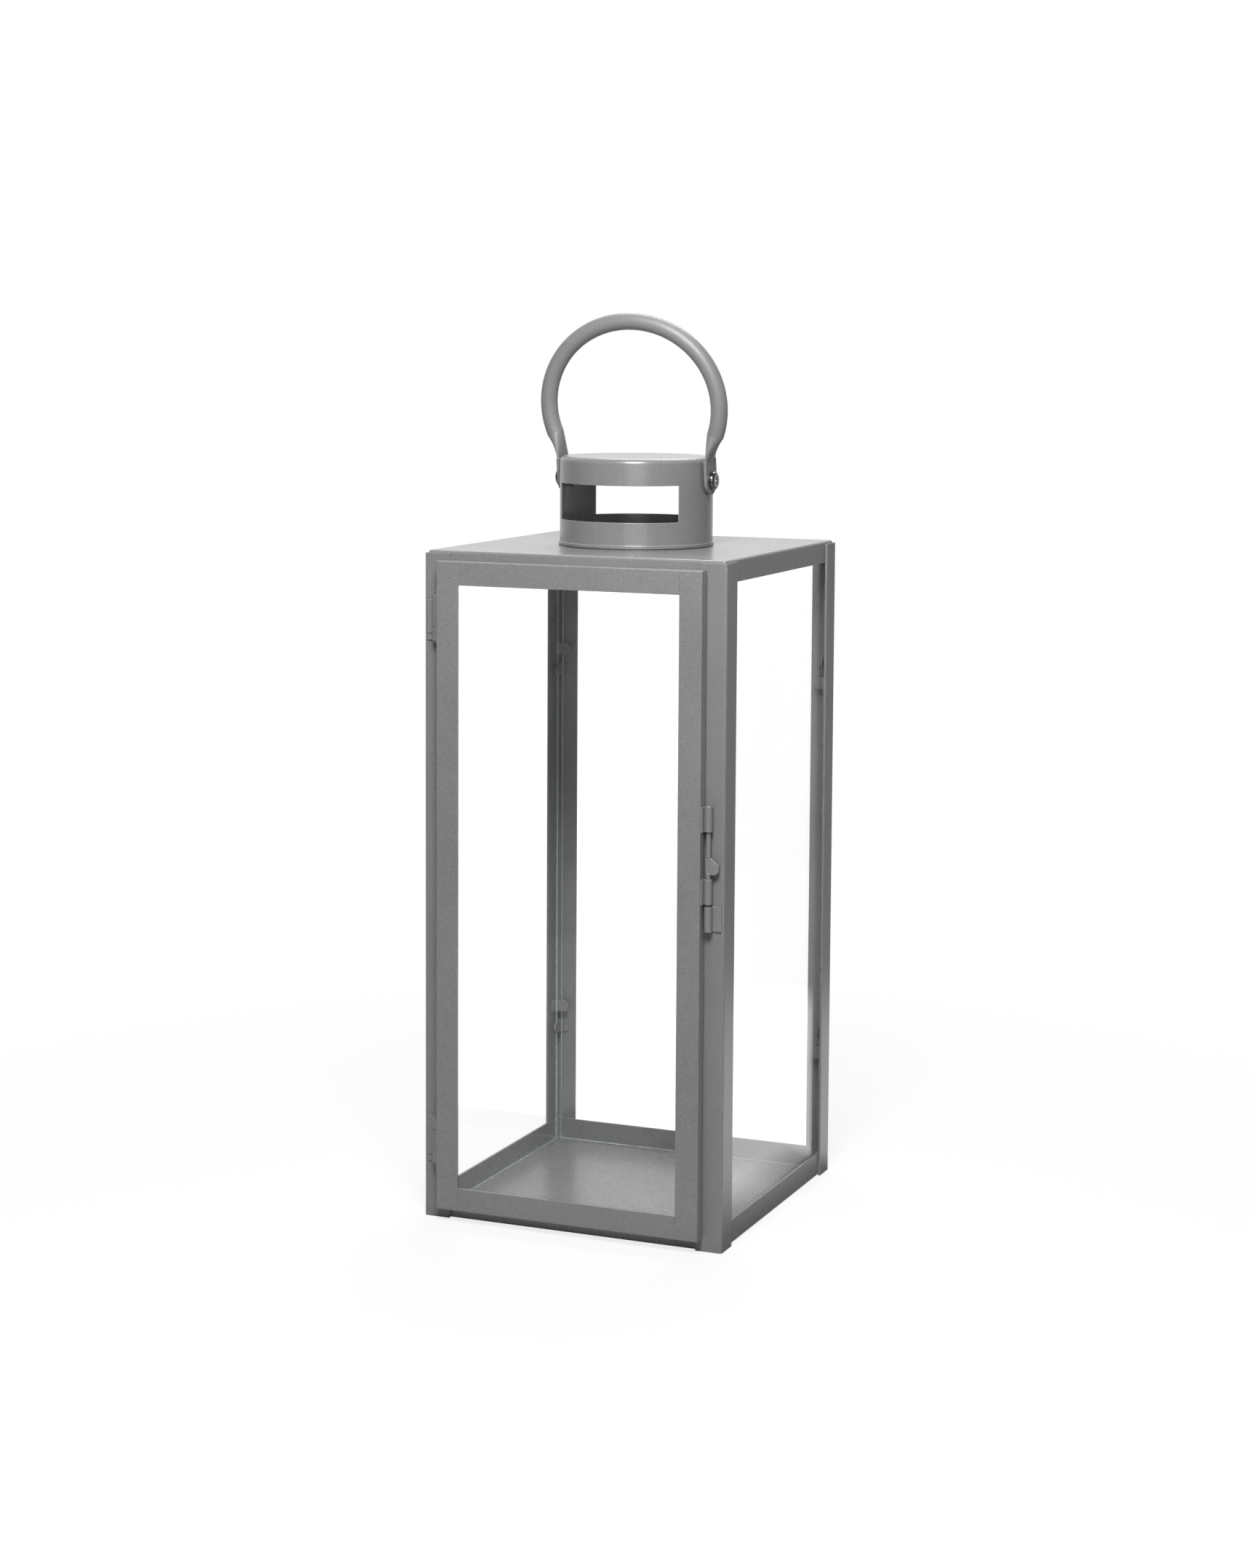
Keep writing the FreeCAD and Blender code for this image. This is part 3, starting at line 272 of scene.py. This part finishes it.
def plated_material():
    """Bright zinc plate with turned rings, a painted dark reflection at the rim and painted
    shade in the recess.
    """
    made, tree, shader = material("zinc_plate")
    place = add(tree, "TexCoord").outputs["Object"]
    cloud = noise(tree, place, ZINC_SCALE, detail=3.0, roughness=0.6)
    from_axis = vectors(tree, "SUBTRACT", place, PIVOT_AXIS)["Vector"]
    flat = vectors(tree, "MULTIPLY", from_axis, ACROSS_AXIS)["Vector"]
    reach = vectors(tree, "LENGTH", flat)["Value"]

    # Darkened rim as painted dark reflection, darkened recess as painted shade
    rim = spread(tree, reach, RIM_FROM, RIM_FULL)
    recess = spread(tree, reach, RECESS_FROM, RECESS_FULL)
    painted_shade = maths(tree, "MAXIMUM", times(tree, rim, RIM_PAINTED_DARK), times(tree, recess, RECESS_PAINTED_SHADE))
    clean = spread(tree, cloud, BRIGHT_FROM, BRIGHT_FULL)
    colour = mixed(tree, clean, ZINC_DULL, ZINC_BRIGHT)
    colour = mixed(tree, painted_shade, colour, grey(PAINTED_SHADE_GREY))

    rough = spread(tree, cloud, ROUGH_FROM, ROUGH_FULL, ZINC_SMOOTH, ZINC_ROUGH)
    rings = maths(tree, "SINE", times(tree, reach, RING_RATE))
    bump = add(tree, "Bump", {"Height": rings, "Distance": RING_DEPTH, "Strength": RING_STRENGTH,
                              "Normal": rounded(tree, HEAD_RADIUS, HEAD_SAMPLES)})
    feed(tree, shader.inputs["Metallic"], 1.0)
    feed(tree, shader.inputs["Base Color"], colour)
    feed(tree, shader.inputs["Roughness"], rough)
    feed(tree, shader.inputs["Normal"], bump.outputs["Normal"])
    return made


coat = coat_material("coat", dull=0.36, bright=0.25, relief=0.25, grain=0.2)
tray_coat = coat_material("coat_tray", dull=0.33, bright=0.22, relief=0.07, grain=0.12)
drum_coat = coat_material("coat_drum", dull=0.3, bright=0.22, relief=0.12, grain=0.12)
tube_coat = coat_material("coat_tube", dull=0.5, bright=0.42, relief=0.0, grain=0.06)
side_glass = glass_material("clear_glass_side", through_axis=0)
front_glass = glass_material("clear_glass_front", through_axis=1)
plated = plated_material()

# Every other piece has the plain coat
FINISHES = {
    "glass_left": side_glass, "glass_right": side_glass,
    "glass_back": front_glass, "door_glass": front_glass,
    "bail_screws": plated, "bail_nuts": plated, "bail_washers": plated,
    "base_tray": tray_coat, "bail_handle": tube_coat,
    "chimney_drum": drum_coat, "roof_plate": drum_coat,
}

for name, part in nodes.items():
    for slot in part.material_slots:
        slot.material = FINISHES.get(name, coat)

# Studio light: strengths of emission, and the share of it that each kind of ray meets
AMBIENT = 0.13
ROOM = 0.2
THROUGH = 1.38
WINDOW = 3.2
WINDOW_WAY = (0.387, -0.922, 0.0)
WINDOW_EDGE, WINDOW_FULL = 0.95, 0.985
WINDOW_TOP, WINDOW_FULL_TO = 0.34, 0.24
BEHIND_FROM, BEHIND_FULL = -0.1, 0.5
LEFT_FULL, RIGHT_DIM, RIGHT_LEVEL = -0.15, 0.4, 0.15


def rays(tree):
    """If a ray sees the studio straight or through glass, if it mirrors it, and its white."""
    path = add(tree, "LightPath").outputs
    mirrored = maths(tree, "GREATER_THAN", path["Glossy Depth"], ANY_BOUNCE)
    through = maths(tree, "SUBTRACT", path["Is Transmission Ray"], mirrored)
    straight = maths(tree, "MAXIMUM", path["Is Camera Ray"], through)
    white = spread(tree, path["Is Transmission Ray"], 0.0, 1.0, 1.0, THROUGH)
    return straight, mirrored, white


def sweep(tree, way):
    """How bright the studio is in a mirror: white behind and to the left, dim elsewhere."""
    across, back, _ = axes(tree, way)
    behind = spread(tree, back, BEHIND_FROM, BEHIND_FULL)
    level = times(tree, behind, spread(tree, across, LEFT_FULL, RIGHT_DIM, 1.0, RIGHT_LEVEL))
    return maths(tree, "MULTIPLY_ADD", level, 1.0 - ROOM, ROOM)


# Floor: near white to the eye with a soft shadow by the lantern, a pale table in mirrors,
# darkened in mirrors near the lantern as painted contact shade
FLOOR_HALF = 4.0
FLOOR_ROUGH, FLOOR_SPECULAR, FLOOR_GREY = 0.9, 0.1, 0.9
BOUNCE_NEAR, BOUNCE_NEAR_GREY = 0.2, 0.85
BOUNCE_FAR, BOUNCE_FAR_GREY = 0.5, 0.4
SHADOW_NEAR, SHADOW_FAR, SHADOW_SHARE = 0.13, 0.45, 0.8
TABLE_MIDDLE = (-0.05, -0.12, 0.0)
TABLE_EDGE, TABLE_FULL, TABLE_BOUNCE = 0.64, 0.54, 0.1
CARD_FRONT, CARD_FRONT_LEVEL = -0.5, 0.4
CARD_BACK, CARD_BACK_LEVEL = 0.4, 1.2
CONTACT_NEAR, CONTACT_FAR, CONTACT_LEVEL = 0.074, 0.1, 0.1


def floor_material():
    """One floor for the eye, for bounced light and for mirrors, each with its own brightness."""
    made, tree, shader = material("pale_floor")
    straight, mirrored, white = rays(tree)
    bounced = add(tree, "LightPath").outputs["Is Diffuse Ray"]
    place = add(tree, "TexCoord").outputs["Object"]
    far = vectors(tree, "LENGTH", place)["Value"]
    way = vectors(tree, "NORMALIZE", place)["Vector"]
    off_table = vectors(tree, "DISTANCE", place, TABLE_MIDDLE)["Value"]
    table = spread(tree, off_table, TABLE_EDGE, TABLE_FULL)

    near = mixed(tree, spread(tree, far, BOUNCE_NEAR, BOUNCE_FAR),
                 grey(BOUNCE_NEAR_GREY), grey(BOUNCE_FAR_GREY))
    feed(tree, shader.inputs["Base Color"], mixed(tree, bounced, grey(FLOOR_GREY), near))
    feed(tree, shader.inputs["Roughness"], FLOOR_ROUGH)
    feed(tree, shader.inputs["Specular IOR Level"], FLOOR_SPECULAR)
    share = times(tree, straight, spread(tree, far, SHADOW_NEAR, SHADOW_FAR, SHADOW_SHARE, 1.0))
    share = maths(tree, "MULTIPLY_ADD", bounced, times(tree, table, TABLE_BOUNCE), share)
    glow = add(tree, "Emission", {"Strength": white})
    lit = add(tree, "MixShader", {0: share, 1: shader.outputs[0], 2: glow.outputs[0]})

    card = times(tree, table, spread(tree, axes(tree, way)[1], CARD_FRONT, CARD_BACK,
                                     CARD_FRONT_LEVEL, CARD_BACK_LEVEL))
    # Painted contact shade: the floor seen in mirrors darkens right around the lantern's
    # footprint
    across, back, _ = axes(tree, vectors(tree, "ABSOLUTE", place)["Vector"])
    painted_contact_shade = spread(tree, maths(tree, "MAXIMUM", across, back),
                     CONTACT_NEAR, CONTACT_FAR, CONTACT_LEVEL, 1.0)
    level = times(tree, maths(tree, "MAXIMUM", sweep(tree, way), card), painted_contact_shade)
    surface(tree, lit, add(tree, "Emission", {"Strength": level}), mirrored)
    return made


floor_mesh = bpy.data.meshes.new("floor")
floor_mesh.from_pydata([(-FLOOR_HALF, -FLOOR_HALF, 0), (FLOOR_HALF, -FLOOR_HALF, 0),
                        (FLOOR_HALF, FLOOR_HALF, 0), (-FLOOR_HALF, FLOOR_HALF, 0)],
                       [], [(0, 1, 2, 3)])
floor_mesh.materials.append(floor_material())
floor = bpy.data.objects.new("floor", floor_mesh)
bpy.context.scene.collection.objects.link(floor)


def studio_world():
    """White to the eye, dim as light, and in mirrors a sweep with a window behind the camera."""
    made = bpy.data.worlds.new("studio")
    made.use_nodes = True
    tree = made.node_tree
    straight, mirrored, white = rays(tree)
    way = add(tree, "TexCoord").outputs["Generated"]
    toward = vectors(tree, "DOT_PRODUCT", way, WINDOW_WAY)["Value"]
    height = maths(tree, "ABSOLUTE", axes(tree, way)[2])
    window = times(tree, spread(tree, toward, WINDOW_EDGE, WINDOW_FULL),
                   spread(tree, height, WINDOW_TOP, WINDOW_FULL_TO))
    panes = add(tree, "LightPath").outputs["Transmission Depth"]
    open_air = maths(tree, "LESS_THAN", panes, ANY_BOUNCE)
    window = times(tree, window, times(tree, open_air, WINDOW))
    room = maths(tree, "ADD", sweep(tree, way), window)
    seen = times(tree, mirrored, maths(tree, "SUBTRACT", room, AMBIENT))
    around = maths(tree, "ADD", seen, AMBIENT)
    lift = times(tree, straight, maths(tree, "SUBTRACT", white, around))
    backdrop = tree.nodes["Background"]
    feed(tree, backdrop.inputs["Color"], grey(1.0))
    feed(tree, backdrop.inputs["Strength"], maths(tree, "ADD", lift, around))
    return made


bpy.context.scene.world = studio_world()


def lamp(name, place, target, power, size):
    """A square soft lamp turned to a target, unseen by the camera."""
    made = bpy.data.objects.new(name, bpy.data.lights.new(name, "AREA"))
    made.data.energy = power
    made.data.size = size
    made.location = place
    aim = Vector(target) - Vector(place)
    made.rotation_euler = aim.to_track_quat("-Z", "Y").to_euler()
    made.visible_camera = False
    bpy.context.scene.collection.objects.link(made)


lamp("key", place=(0.15, -0.45, 0.68), target=(0, 0, 0.2), power=5.4, size=0.22)
lamp("back_top", place=(-0.15, 0.7, 1.3), target=(0, 0, 0.3), power=11.5, size=0.8)

# Camera at the photograph's viewing angle, fitted to the lantern's corners
EYE = Vector((0.50524, -1.22212, 0.39098))
LOOK = Vector((-0.383092, 0.919315, -0.089999)).normalized()
UP = Vector((-0.040031, 0.080817, 0.995925)).normalized()
SIDE = LOOK.cross(UP).normalized()
FOCAL_LENGTH_MM, SENSOR_MM = 68.3503, 36.0
SHIFT_DOWN = -0.12
NEAREST = 0.01

lens = bpy.data.cameras.new("camera")
lens.lens = FOCAL_LENGTH_MM
lens.sensor_width = SENSOR_MM
lens.sensor_fit = "AUTO"
lens.shift_y = SHIFT_DOWN
lens.clip_start = NEAREST
camera = bpy.data.objects.new("camera", lens)
camera.matrix_world = Matrix((
    (SIDE.x, UP.x, -LOOK.x, EYE.x),
    (SIDE.y, UP.y, -LOOK.y, EYE.y),
    (SIDE.z, UP.z, -LOOK.z, EYE.z),
    (0, 0, 0, 1)))
bpy.context.scene.collection.objects.link(camera)
bpy.context.scene.camera = camera
bpy.context.scene.view_settings.view_transform = "Standard"
